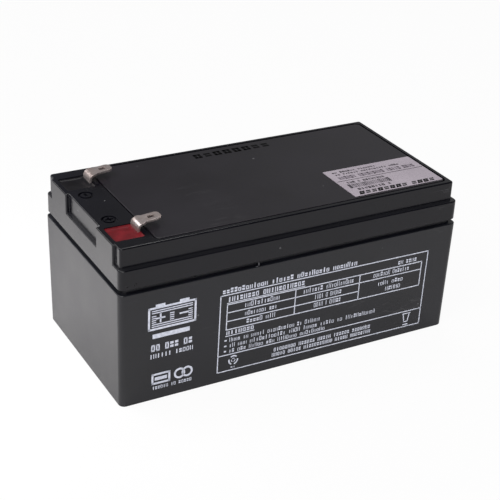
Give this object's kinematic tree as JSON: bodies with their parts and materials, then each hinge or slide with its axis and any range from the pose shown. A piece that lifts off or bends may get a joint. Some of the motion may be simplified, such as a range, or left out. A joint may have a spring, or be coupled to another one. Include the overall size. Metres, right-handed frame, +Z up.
{
  "type": "sealed lead acid battery",
  "caption": "Sealed rechargeable battery in a black moulded case, with a stepped lid, a flat vent cover and blade terminals at its left end.",
  "frame": {"origin": "middle of the base, on the surface that the battery stands on", "axes": "+X along the length, away from the terminals; +Y across, from the positive to the negative terminal; +Z up"},
  "size_m": [0.134, 0.067, 0.0635],
  "materials": {
    "black_abs": "moulded, fine satin grain",
    "joint_epoxy": "cured adhesive bead",
    "cap_rubber": "soft moulded rubber",
    "cast_lead": "dull cast lead",
    "tinned_brass": "tin plate on stamped strip",
    "red_resin": "potted resin, semi gloss",
    "black_resin": "potted resin, semi gloss",
    "positive_plate_lead": "pasted grid, dark brown",
    "negative_plate_lead": "pasted grid, spongy grey",
    "glass_mat": "pressed glass fibre mat",
    "label_film": "thin silver grey film"
  },
  "bodies": {
    "root": {"container": "black_abs", "lid_sealant": "joint_epoxy", "lid": "black_abs", "vent_cover": "black_abs", "valve_cap_1": "cap_rubber", "valve_cap_2": "cap_rubber", "valve_cap_3": "cap_rubber", "valve_cap_4": "cap_rubber", "valve_cap_5": "cap_rubber", "valve_cap_6": "cap_rubber", "positive_post": "cast_lead", "positive_terminal": "tinned_brass", "positive_resin": "red_resin", "negative_post": "cast_lead", "negative_terminal": "tinned_brass", "negative_resin": "black_resin", "cell_1_positive_plates": "positive_plate_lead", "cell_1_negative_plates": "negative_plate_lead", "cell_1_separators": "glass_mat", "cell_2_positive_plates": "positive_plate_lead", "cell_2_negative_plates": "negative_plate_lead", "cell_2_separators": "glass_mat", "cell_3_positive_plates": "positive_plate_lead", "cell_3_negative_plates": "negative_plate_lead", "cell_3_separators": "glass_mat", "cell_4_positive_plates": "positive_plate_lead", "cell_4_negative_plates": "negative_plate_lead", "cell_4_separators": "glass_mat", "cell_5_positive_plates": "positive_plate_lead", "cell_5_negative_plates": "negative_plate_lead", "cell_5_separators": "glass_mat", "cell_6_positive_plates": "positive_plate_lead", "cell_6_negative_plates": "negative_plate_lead", "cell_6_separators": "glass_mat", "intercell_weld_1_2": "cast_lead", "intercell_weld_2_3": "cast_lead", "intercell_weld_3_4": "cast_lead", "intercell_weld_4_5": "cast_lead", "intercell_weld_5_6": "cast_lead", "top_label": "label_film"}
  },
  "joints": []
}
